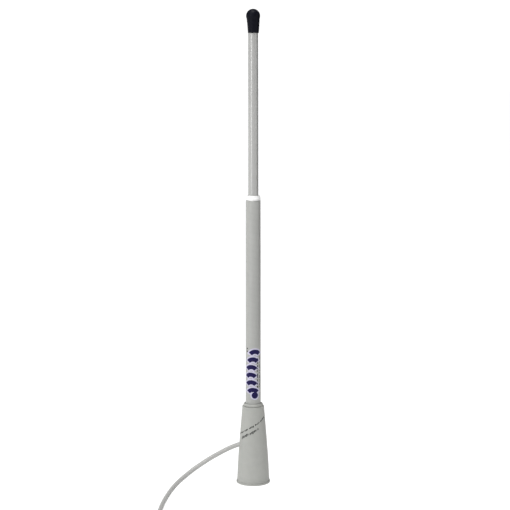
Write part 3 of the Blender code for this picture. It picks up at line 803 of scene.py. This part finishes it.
def make_cap(material):
    """The rubber tip: a ball head that runs into a tapered skirt, and leans a little as pushed on."""
    low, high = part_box("tip_cap")
    head_radius = high.x - 0.2 * MM
    foot = low.z - CAP_OVERHANG
    head = high.z - head_radius
    bore = taper("upper_tube", low.z) + 0.6 * GAP
    outline = [Vector((0, high.z))]
    for step in range(1, 25):
        angle = math.radians(90 - 112 * step / 24)
        outline.append(Vector((head_radius * math.cos(angle), head + head_radius * math.sin(angle))))
    start = outline[-1]
    neck = CAP_NECK_RADIUS + 0.2 * MM
    for step in range(1, 9):
        share = step / 8
        reach = neck + (start.x - neck) * (1 - share) ** 2
        outline.append(Vector((reach, start.y + (CAP_NECK_HEIGHT - start.y) * share)))
    outline.append(Vector((CAP_NECK_RADIUS, CAP_NECK_HEIGHT - 1.2 * MM)))
    outline.append(Vector((CAP_RIM_RADIUS + 0.05 * MM, foot + 1.4 * MM)))
    corners = [(CAP_RIM_RADIUS, foot + 1.6 * MM), (CAP_RIM_RADIUS, foot, 0.35 * MM)]
    corners += [(bore, foot, 0.05 * MM), (bore, high.z)]
    outline += filleted(corners)[1:-1]
    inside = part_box("upper_tube")[1].z + GAP
    outline += [Vector((bore, inside)), Vector((0, inside))]

    def leaning(point):
        share = smooth_step((point[2] - CAP_NECK_HEIGHT + 4 * MM) / (8 * MM))
        shift = CAP_SKIRT_SHIFT + (CAP_HEAD_SHIFT - CAP_SKIRT_SHIFT) * share
        outside = math.hypot(point[0], point[1]) > bore + 0.1 * MM or point[2] > inside + 1 * MM
        return (point[0] + shift * outside, point[1], point[2])

    rows = [[leaning(point) for point in row] for row in turned_rows(outline, 96)]
    place_piece("mast_cap", skin("mast_cap", rows), material, ["tip_cap"], body="cap")


# Print on the mast and base: plain marks, cut as thin films


def wave_patch(middle, width, spread, tube_radius, aside):
    """An arc of a wave about a point on the mast, as (angle, height) rows."""
    rows = []
    for step in range(33):
        turn = spread * (2 * step / 32 - 1)
        row = []
        for part in range(11):
            reach = MARK_RADIUS + width * (part / 10 - 0.5)
            row.append((aside + reach * math.sin(turn) / tube_radius, middle + reach * math.cos(turn)))
        rows.append(row)
    return rows


def disc_patch(middle, radius, tube_radius, aside):
    """A disc about a point on the mast, as (angle, height) rows."""
    rows = []
    for part in range(6):
        reach = max(radius * part / 5, 0.001 * MM)
        row = []
        for step in range(37):
            turn = FULL_TURN * step / 36
            row.append((aside + reach * math.sin(turn) / tube_radius, middle + reach * math.cos(turn)))
        rows.append(row)
    return rows


def dash_patch(start, end, first, last, rise, thickness, pieces=4):
    """A stroke on the line from start to end, both (angle, height), between two shares of its length."""
    rows = []
    for step in range(pieces + 1):
        share = first + (last - first) * step / pieces
        angle = start[0] + (end[0] - start[0]) * share
        height = start[1] + (end[1] - start[1]) * share + rise
        rows.append([(angle, height - thickness / 2), (angle, height + thickness / 2)])
    return rows


def level_dash(middle, reach, height, thickness):
    return dash_patch((middle - reach, height), (middle + reach, height), 0, 1, 0, thickness)


def film(name, patches, radius_at, proud, material):
    """Patches of (angle, height) rows laid on a turned surface, as one thin closed film."""
    points, faces = [], []
    for rows in patches:
        count = len(rows[0])
        for i in range(len(rows) - 1):
            for j in range(count - 1):
                corner = len(points) + i * count + j
                faces.append((corner, corner + 1, corner + count + 1, corner + count))
        for row in rows:
            for angle, height in row:
                reach = radius_at(height) + proud
                points.append((reach * math.sin(angle), -reach * math.cos(angle), height))
    thick = welded(points, faces, 0.002 * MM)
    for face in thick.faces:
        middle = face.calc_center_median()
        if face.normal.dot(Vector((middle.x, middle.y, 0))) < 0:
            face.normal_flip()
    bmesh.ops.solidify(thick, geom=thick.faces, thickness=-FILM_THICKNESS)
    bmesh.ops.recalc_face_normals(thick, faces=thick.faces)
    place_piece(name, smoothed(mesh_from(name, thick), 50), material)


def mark_patches(grow, tube_radius):
    """The broadcast mark, a dot with waves rising from it, made wider all round by grow."""
    start, sway = MARK_SWAY
    patches = [disc_patch(MARK_FOOT, MARK_DOT + grow, tube_radius, start)]
    spread = MARK_SPREAD + grow / MARK_RADIUS
    for number in range(1, MARK_WAVES + 1):
        share = number / MARK_WAVES
        middle = MARK_FOOT + MARK_HEIGHT * share - MARK_STROKE / 2 - MARK_RADIUS
        aside = start + sway * math.sin(HALF_TURN * share)
        patches.append(wave_patch(middle, MARK_STROKE + 2 * grow, spread, tube_radius, aside))
    return patches


def make_mast_print(ink, halo, grey):
    """A broadcast mark with a pale edge, and small dashes beside it."""
    tube_radius = taper("lower_tube", MARK_FOOT)
    tube_at = partial(taper, "lower_tube")
    film("mast_mark_edge", mark_patches(MARK_EDGE, tube_radius), tube_at, PROUD, halo)
    film("mast_mark", mark_patches(0.0, tube_radius), tube_at, PROUD + FILM_THICKNESS, ink)
    spots = []
    for height in MARK_SPOTS:
        spots.append(level_dash(math.radians(-50.5), math.radians(5.5), height, 1.6 * MM))
    dice = random.Random(11)
    for angle, sway, narrow, wide in MARK_DASH_COLUMNS:
        height = 111 * MM
        while height < 146 * MM:
            length = dice.uniform(1.2, 3.4) * MM
            bow = sway * math.sin(HALF_TURN * (height - MARK_FOOT) / MARK_HEIGHT)
            middle = math.radians(angle + bow + dice.uniform(-1.0, 1.0))
            reach = math.radians(dice.uniform(narrow, wide))
            spots.append(level_dash(middle, reach, height, length))
            height += length + dice.uniform(0.8, 2.0) * MM
    film("mast_small_print", spots, tube_at, PROUD, grey)


def make_base_print(grey):
    """Two slanting lines of small dashes on the cone."""
    dice = random.Random(5)
    strokes = []
    for start, end, tall in BASE_PRINT_LINES:
        start = (math.radians(start[0]), start[1] * MM)
        end = (math.radians(end[0]), end[1] * MM)
        stroke = PRINT_STROKE / math.degrees(end[0] - start[0])
        share = 0.0
        while share < 0.97:
            for _ in range(dice.randint(3, 6)):
                long = stroke * dice.uniform(0.7, 1.15)
                if share + long < 1.0:
                    rise = tall * dice.uniform(-0.15, 0.15) * MM
                    thick = tall * dice.uniform(0.7, 1.2) * MM
                    strokes.append(dash_patch(start, end, share, share + long, rise, thick, 2))
                share += long + 0.35 * stroke
            share += 0.8 * stroke
    film("base_small_print", strokes, base_radius, 0.0, grey)


# Cable ties


def turns_right(first, second, third):
    cross = (second[0] - first[0]) * (third[1] - first[1]) - (second[1] - first[1]) * (third[0] - first[0])
    return cross <= 0


def bundle_outline(clearance):
    """The tight loop round the wound turns, as evenly spaced (across, height) points."""
    points = set()
    reach = CABLE_RADIUS + clearance
    for layer, turns in enumerate(COIL_ROWS):
        for radius, height in layer_tracks(layer, turns):
            for step in range(48):
                angle = FULL_TURN * step / 48
                across = radius - COIL_RADIUS + reach * math.cos(angle)
                points.add((across, height + reach * math.sin(angle)))
    points = sorted(points)
    hull = []
    for ordered in (points, points[::-1]):
        side = []
        for point in ordered:
            while len(side) > 1 and turns_right(side[-2], side[-1], point):
                side.pop()
            side.append(point)
        hull += side[:-1]
    loop = [Vector(point) for point in hull]
    edges = list(zip(loop, loop[1:] + loop[:1]))
    total = sum((b - a).length for a, b in edges)
    even, travelled, mark = [], 0.0, 0
    for a, b in edges:
        length = (b - a).length
        while length and travelled + length >= total * mark / TIE_STEPS and mark < TIE_STEPS:
            even.append(a.lerp(b, (total * mark / TIE_STEPS - travelled) / length))
            mark += 1
        travelled += length
    return even


def strap_section(half_width, tooth):
    """A strap's cross-section: (out, sideways) points, with rails along both edges."""
    edge, top = 0.2 * MM, TIE_THICKNESS
    inset = half_width - 0.55 * MM
    half = [(0, half_width - edge), (edge, half_width), (top - edge, half_width), (top, half_width - edge)]
    half += [(top, inset), (top - 0.18 * MM + tooth, inset - 0.1 * MM)]
    return half + [(reach, -side) for reach, side in reversed(half)]


def make_strap(name, loop, place, material, replaced):
    """The strap's closed loop, its flat side to the bundle."""
    rows = []
    for i in range(TIE_STEPS):
        along = (loop[(i + 1) % TIE_STEPS] - loop[i - 1]).normalized()
        row = []
        for reach, side in strap_section(TIE_WIDTH / 2, 0.0):
            spot = loop[i] + Vector((along.y, -along.x)) * reach
            row.append((spot.x, side, spot.y))
        rows.append(row)
    place_piece(name, skin(name, rows, closed=True), material, [replaced], place)


def make_tie_head(name, side, middle, place, material):
    """The tie's rounded head, with a slot for the strap's end."""
    head = block((4.2 * MM, 4.6 * MM, 4.8 * MM), (side + 2.6 * MM, 0, middle))
    bmesh.ops.bevel(head, geom=head.edges, offset=0.7 * MM, segments=4, profile=0.6, affect="EDGES")
    piece = place_piece(name, smoothed(mesh_from(name, head), 60), material, (), place)
    slot = block((1.7 * MM, 3.5 * MM, 8 * MM), (side + 2.35 * MM, 0, middle))
    cutter = add_object("slot", mesh_from("slot", slot))
    cutter.matrix_world = place
    cut(piece, cutter)


def make_tie_end(name, side, middle, place, material):
    """The strap's toothed end, cut off just above the head."""
    rows = []
    for step in range(41):
        height = middle - 2.0 * MM + 7.0 * MM * step / 40
        tooth = 0.16 * MM * (step % 2) if 2 < step < 39 else 0.0
        section = strap_section(1.45 * MM, tooth)
        rows.append([(side + 1.75 * MM + reach, across, height) for reach, across in section])
    count = len(rows[0])
    rows = [[rows[0][0]] * count, *rows, [rows[-1][0]] * count]
    place_piece(name, skin(name, rows, smooth=30), material, (), place)


def make_tie(number, angle, material):
    """A strap pulled round the bundle, its head on the outer side and its cut end standing out of it."""
    loop = bundle_outline(TIE_CLEARANCE)
    side = max(point.x for point in loop)
    level = [point.y for point in loop if point.x > side - 0.02 * MM]
    middle = sum(level) / len(level)
    place = Matrix.Translation(coil_centre()) @ Matrix.Rotation(angle, 4, "Z")
    place = place @ Matrix.Translation((COIL_RADIUS, 0, 0))
    make_strap(f"tie_{number}_strap", loop, place, material, f"cable_tie_{number}")
    make_tie_head(f"tie_{number}_head", side, middle, place, material)
    make_tie_end(f"tie_{number}_end", side, middle, place, material)


# Connector


def plug_place():
    """The connector's frame: its Z axis runs from the cable to the pin."""
    joint = next(joint for joint in frame["joints"] if joint["name"] == "nut_spin")
    axis = Vector(joint["axis"]).normalized()
    rear = Vector(joint["pos_m"]) - axis * NUT_JOINT_REACH
    return Matrix.Translation(rear) @ axis.to_track_quat("Z", "Y").to_matrix().to_4x4()


def knurl(angle, height, count, pitch, depth):
    """Depth of a diamond knurl at a place."""
    first = abs(math.sin(count * angle / 2 + HALF_TURN * height / pitch))
    second = abs(math.sin(count * angle / 2 - HALF_TURN * height / pitch))
    return depth * (1 - min(1.0, 1.25 * min(first, second)))


def helix(angle, height, depth):
    """Depth of the plug's V thread at a place."""
    turn = (height / PLUG_THREAD_PITCH - angle / FULL_TURN) % 1.0
    return depth * 2 * abs(turn - 0.5)


def make_boot(place, material):
    """Heat-shrink sleeve, a little wavy where it gripped."""
    hole = CABLE_HOLE / MM
    corners = in_mm((hole, -0.3), (3.5, -0.3, 0.15), (3.5, -3.5, 2), (3.25, -6, 4), (3.2, -17, 2))
    corners += in_mm((3.05, -20, 0.1), (hole, -20))

    def relief(angle, radius, height):
        if radius < 3.0 * MM:
            return radius
        return radius + 0.05 * MM * math.sin(3 * angle + height / (1.7 * MM)) * math.sin(height / (2.9 * MM))

    replaced = ["plug_boot"]
    turned_piece("connector_boot", corners, 64, material, replaced, place, relief, 0.6 * MM)


def make_reducer(place, material):
    """The sleeve that fits the body to the thin lead, with a grooved grip."""
    hole = CABLE_HOLE / MM
    corners = in_mm((hole, 17), (5.0, 17, 0.3), (5.0, 5), (5.8, 5, 0.25), (5.8, 0, 0.6), (hole, 0, 0.3))

    def relief(angle, radius, height):
        if radius < 5.75 * MM or not 0.9 * MM < height < 4.4 * MM:
            return radius
        return radius - 0.22 * MM * (1 - abs(math.sin(24 * angle)))

    replaced = ["plug_reducer"]
    turned_piece(
        "connector_reducer", corners, 192, material, replaced, place, relief, 0.4 * MM
    )


def make_body(place, material):
    """The plug's body, with a knurled grip, a waist with four solder holes, a thread and a flange."""
    corners = in_mm((5.3, 33, 0.2), (6.3, 33, 0.3), (6.3, 26.5, 0.3), (7.2, 26.5, 0.3), (7.2, 24, 0.2))
    corners += in_mm((6.3, 24), (6.3, 14.4, 0.3), (5.9, 14.0, 0.3), (5.9, 9.4, 0.3), (6.35, 9.0, 0.3))
    corners += in_mm((6.35, 5.3, 0.4), (5.3, 5.3))

    def relief(angle, radius, height):
        if radius < 6.25 * MM:
            return radius
        if 5.9 * MM < height < 8.7 * MM:
            return radius - knurl(angle, height, 44, 0.9 * MM, 0.2 * MM)
        if 14.7 * MM < height < 23.7 * MM:
            return radius - helix(angle, height, 0.35 * MM)
        return radius

    replaced = ["plug_body"]
    body = turned_piece(
        "connector_body", corners, 176, material, replaced, place, relief, 0.16 * MM
    )
    holes = []
    for turn in (0, HALF_TURN / 2):
        across = Matrix.Translation((0, 0, SOLDER_HEIGHT)) @ Matrix.Rotation(turn, 4, "Z")
        across = across @ Matrix.Rotation(HALF_TURN / 2, 4, "X")
        holes.append(round_cutter(1.3 * MM, -8 * MM, 8 * MM, place @ across, 32))
    cut(body, *holes)


def make_solder(place, material):
    """Solder set in the body's four holes."""
    blobs = bmesh.new()
    for number in range(4):
        turn = Matrix.Rotation(HALF_TURN / 2 * number, 4, "Z") @ Matrix.Rotation(HALF_TURN / 2, 4, "X")
        spot = Matrix.Translation((0, 0, SOLDER_HEIGHT)) @ turn @ Matrix.Translation((0, 0, 5.35 * MM))
        flat = spot @ Matrix.Diagonal((1.2 * MM, 1.2 * MM, 0.3 * MM, 1))
        bmesh.ops.create_uvsphere(blobs, u_segments=24, v_segments=12, radius=1.0, matrix=flat)
    mesh = mesh_from("connector_solder", blobs)
    mesh.shade_smooth()
    place_piece("connector_solder", mesh, material, (), place)


def make_nut(place, material):
    """The coupling nut: knurled outside and threaded inside, with a lip that the body's flange holds."""
    corners = in_mm((7.6, 35.5, 0.3), (9.1, 35.5, 0.5), (9.1, 33.6, 0.2), (8.85, 33.3), (9.1, 33.0))
    corners += in_mm((9.1, 22.0), (8.85, 21.7), (9.1, 21.4, 0.2), (9.1, 19.5, 0.5), (6.65, 19.5, 0.3))
    corners += in_mm((6.65, 23.6), (7.6, 23.6))

    def relief(angle, radius, height):
        if radius > 8.7 * MM and 22.2 * MM < height < 32.8 * MM:
            return radius - knurl(angle, height, 48, 1.18 * MM, 0.32 * MM)
        if abs(radius - 7.6 * MM) < 0.05 * MM and 24.2 * MM < height < 35.0 * MM:
            return radius + helix(angle, height, 0.38 * MM)
        return radius

    replaced, body = ["plug_nut"], "coupling_nut"
    turned_piece(
        "connector_nut", corners, 240, material, replaced, place, relief, 0.2 * MM, body
    )


def make_pin(place, material):
    """The centre pin, hollow at its tip."""
    corners = in_mm((0, 37.3), (1.15, 37.1), (1.25, 37.9, 0.1), (1.45, 38, 0.1), (2.0, 36.9, 0.4))
    corners += in_mm((2.0, 18.5, 0.2), (0, 18.5))
    turned_piece("connector_pin", corners, 64, material, ["plug_pin"], place)


# Pieces inside the mast


def make_ring(node, bore, edge, material):
    """A round sleeve on the mast's axis, as tall and wide as its node."""
    low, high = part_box(node)
    corners = [(bore, high.z, edge / 2), (high.x, high.z, edge)]
    corners += [(high.x, low.z, edge), (bore, low.z, edge / 2)]
    turned_piece(f"inner_{node}", corners, 72, material, [node])


def make_bar(node, edge, material):
    """A round bar on the mast's axis, as tall and wide as its node."""
    low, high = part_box(node)
    corners = [(0, high.z), (high.x, high.z, edge), (high.x, low.z, edge), (0, low.z)]
    turned_piece(f"inner_{node}", corners, 48, material, [node])


def make_loading_coil(material):
    """The spaced winding on its former, with a straight leg at each end."""
    low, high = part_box("loading_coil")
    radius = high.x - WINDING_WIRE_RADIUS
    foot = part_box("coil_former")[0].z + 4 * MM
    line = [(0, radius, low.z), (0, radius, foot - 1.5 * MM)]
    for step in range(WINDING_TURNS * WINDING_STEPS + 1):
        angle = HALF_TURN / 2 + FULL_TURN * step / WINDING_STEPS
        height = foot + WINDING_PITCH * step / WINDING_STEPS
        line.append((radius * math.cos(angle), radius * math.sin(angle), height))
    line += [(0, radius, height + 1.5 * MM), (0, radius, high.z)]
    wire = round_wire("inner_loading_coil", line, WINDING_WIRE_RADIUS, 3)
    place_piece("inner_loading_coil", wire, material, ["loading_coil"])


# Studio


def area_light(name, azimuth, elevation, distance, width, height, radiance):
    """A soft box of a given radiance. Azimuth is 0 from the camera's side and grows to the right."""
    light = bpy.data.lights.new(name, "AREA")
    light.shape = "RECTANGLE"
    light.size = width
    light.size_y = height
    light.energy = radiance * HALF_TURN * width * height
    lamp = add_object(name, light)
    turn, rise = math.radians(azimuth), math.radians(elevation)
    away = Vector((math.sin(turn) * math.cos(rise), -math.cos(turn) * math.cos(rise), math.sin(rise)))
    lamp.location = LIGHT_TARGET + away * distance
    lamp.rotation_euler = away.to_track_quat("Z", "Y").to_euler()
    return lamp


def make_lights():
    world = bpy.data.worlds.new("studio")
    world.use_nodes = True
    background = world.node_tree.nodes["Background"]
    background.inputs["Color"].default_value = (1, 1, 1, 1)
    background.inputs["Strength"].default_value = WORLD_STRENGTH
    bpy.context.scene.world = world
    area_light("key", -41, 16, 1.75, 0.32, 1.3, KEY_RADIANCE)
    side = area_light("side", -80, 12, 1.75, 0.8, 1.3, SIDE_RADIANCE)
    side.visible_glossy = False
    area_light("top", -20, 78, 1.6, 0.9, 0.9, TOP_RADIANCE)
    fill = area_light("fill", 78, 16, 1.75, 1.3, 1.3, FILL_RADIANCE)
    fill.visible_diffuse = False
    area_light("back", 160, 35, 1.8, 0.9, 0.9, BACK_RADIANCE)


def stage_piece(name, shape, shade, glow, roughness, specular):
    """Part of the studio: one plain grey that may also glow white."""
    surface = Surface(name, (shade, shade, shade), roughness, specular=specular)
    surface.set("Base Color", (shade, shade, shade, 1))
    surface.set("Emission Color", (1, 1, 1, 1))
    surface.set("Emission Strength", glow)
    mesh = mesh_from(name, shape)
    mesh.materials.append(surface.material)
    piece = add_object(name, mesh)
    return piece


def make_stage():
    """A pale floor, a white surround that only the camera sees, and a black flag on the right."""
    disc = bmesh.new()
    bmesh.ops.create_circle(disc, cap_ends=True, segments=96, radius=12)
    floor = stage_piece("stage_floor", disc, FLOOR_SHADE, FLOOR_GLOW, 0.8, 0.2)
    floor.location.z = -0.05 * MM
    dome = bmesh.new()
    bmesh.ops.create_uvsphere(dome, u_segments=48, v_segments=24, radius=13)
    surround = stage_piece("stage_surround", dome, 0, SURROUND_GLOW, 1.0, 0.0)
    surround.visible_diffuse = False
    surround.visible_glossy = False
    surround.visible_transmission = False
    surround.visible_shadow = False
    sheet = bmesh.new()
    bmesh.ops.create_grid(sheet, x_segments=1, y_segments=1, size=0.5)
    flag = stage_piece("stage_flag", sheet, FLAG_SHADE, 0.0, 1.0, 0.0)
    flag.location = FLAG_PLACE
    flag.rotation_euler = (0, HALF_TURN / 2, 0)
    flag.scale = FLAG_SIZE
    flag.visible_camera = False


def make_camera():
    data = bpy.data.cameras.new("camera")
    data.lens = CAMERA_LENS
    camera = add_object("camera", data)
    camera.location = CAMERA_PLACE
    camera.rotation_euler = (HALF_TURN / 2 - CAMERA_PITCH, 0, 0)
    bpy.context.scene.camera = camera


bpy.context.scene.view_settings.view_transform = "Standard"
make_camera()
make_stage()
make_lights()

base_plastic = moulded("base_plastic", (0.420, 0.425, 0.401), 0.55)
lower_gelcoat = gelcoat("lower_gelcoat", (0.398, 0.402, 0.386), 0.42, 0.25, 0.02)
upper_gelcoat = gelcoat("upper_gelcoat", (0.402, 0.402, 0.392), 0.20, 1.0, 0.003)
white_nylon = plain_solid("white_nylon", (0.95, 0.95, 0.945), 0.35, 0.3, 0.006)
black_rubber = rubber("black_rubber", (0.0042, 0.0047, 0.009), 0.40, (0.009, 0.009, 0.014))
grey_pvc = jacket("cable_jacket", (0.475, 0.475, 0.460), 0.42)
black_nylon = plain_solid("black_nylon", (0.02, 0.02, 0.02), 0.4, 0.25, 0.006)
heat_shrink = plain_solid("heat_shrink", (0.018, 0.018, 0.02), 0.5, 0.4, 0.012)
nickel = plated("nickel_plate", (0.66, 0.63, 0.58), 0.26, (0.50, 0.46, 0.40))
solder = plated("solder", (0.62, 0.62, 0.62), 0.3, (0.45, 0.45, 0.44))
brass = plated("brass", (0.72, 0.52, 0.24), 0.28, (0.52, 0.36, 0.16))
copper = plated("copper", (0.82, 0.42, 0.26), 0.3, (0.55, 0.26, 0.16))
tinned_braid = braid("tinned_braid", (0.62, 0.60, 0.56))
fluoropolymer = plain_solid("fluoropolymer", (0.86, 0.86, 0.84), 0.45, 0.4, 0.008)
ferrite = plain_solid("ferrite", (0.07, 0.07, 0.075), 0.6, 0.3, 0.02)
resin = plain_solid("potting_resin", (0.10, 0.09, 0.08), 0.2, 0.6, 0.01, specular=0.5)
ceramic = plain_solid("capacitor_coating", (0.10, 0.22, 0.55), 0.3, 0.5, 0.02, specular=0.5)
foam = cellular("foam", (0.80, 0.79, 0.74))
laminate = circuit_board("board_laminate", (0.04, 0.20, 0.08))
navy_ink = plain_solid("navy_ink", (0.011, 0.007, 0.066), 0.45, 0.3, 0.002, specular=0.15)
pale_ink = plain_solid("pale_ink", (0.57, 0.545, 0.70), 0.4, 0.3, 0.002)
grey_ink = plain_solid("grey_ink", (0.026, 0.027, 0.026), 0.5, 0.3, 0.002, specular=0.15)

cable = make_cable(grey_pvc)
make_base(base_plastic)
make_thread_insert(nickel)
make_grommet(grey_pvc)
make_tube("lower_tube", "mast_lower_tube", LOWER_TUBE_BORE, lower_gelcoat)
make_tube("upper_tube", "mast_upper_tube", UPPER_TUBE_BORE, upper_gelcoat)
make_bush(white_nylon)
make_cap(black_rubber)
make_mast_print(navy_ink, pale_ink, grey_ink)
make_base_print(grey_ink)
for number, angle in enumerate(TIE_ANGLES, 1):
    make_tie(number, angle, black_nylon)
plug = plug_place()
make_boot(plug, heat_shrink)
make_reducer(plug, nickel)
make_body(plug, nickel)
make_solder(plug, solder)
make_nut(plug, nickel)
make_pin(plug, brass)
make_loading_coil(copper)
make_ring("potting_plug", CABLE_HOLE, 0.4 * MM, resin)
make_ring("crimp_ring", CABLE_HOLE, 0.4 * MM, brass)
make_ring("coil_former", ROD_BORE, 0.4 * MM, fluoropolymer)
make_ring("rod_coupler", ROD_BORE, 0.3 * MM, brass)
make_bar("radiator_rod", 0.3 * MM, brass)
for number in range(1, 4):
    make_ring(f"ferrite_bead_{number}", CABLE_HOLE, 0.6 * MM, ferrite)
for number in range(1, 6):
    make_ring(f"foam_spacer_{number}", ROD_BORE, 0.4 * MM, foam)
KEPT_FINISHES = {
    "coax_jacket": grey_pvc,
    "coax_braid": tinned_braid,
    "coax_dielectric": fluoropolymer,
    "coax_core": copper,
    "matching_board": laminate,
    "matching_capacitor": ceramic,
    "plug_insulator": fluoropolymer,
}
for node, finish in KEPT_FINISHES.items():
    frame["nodes"][node].data.materials.clear()
    frame["nodes"][node].data.materials.append(finish)

on_cable = [f"tie_{number}_{part}" for number in (1, 2) for part in ("strap", "head", "end")]
on_cable += [f"connector_{part}" for part in ("boot", "reducer", "body", "solder", "nut", "pin")]
on_cable += ["plug_insulator", "lead_grommet"]
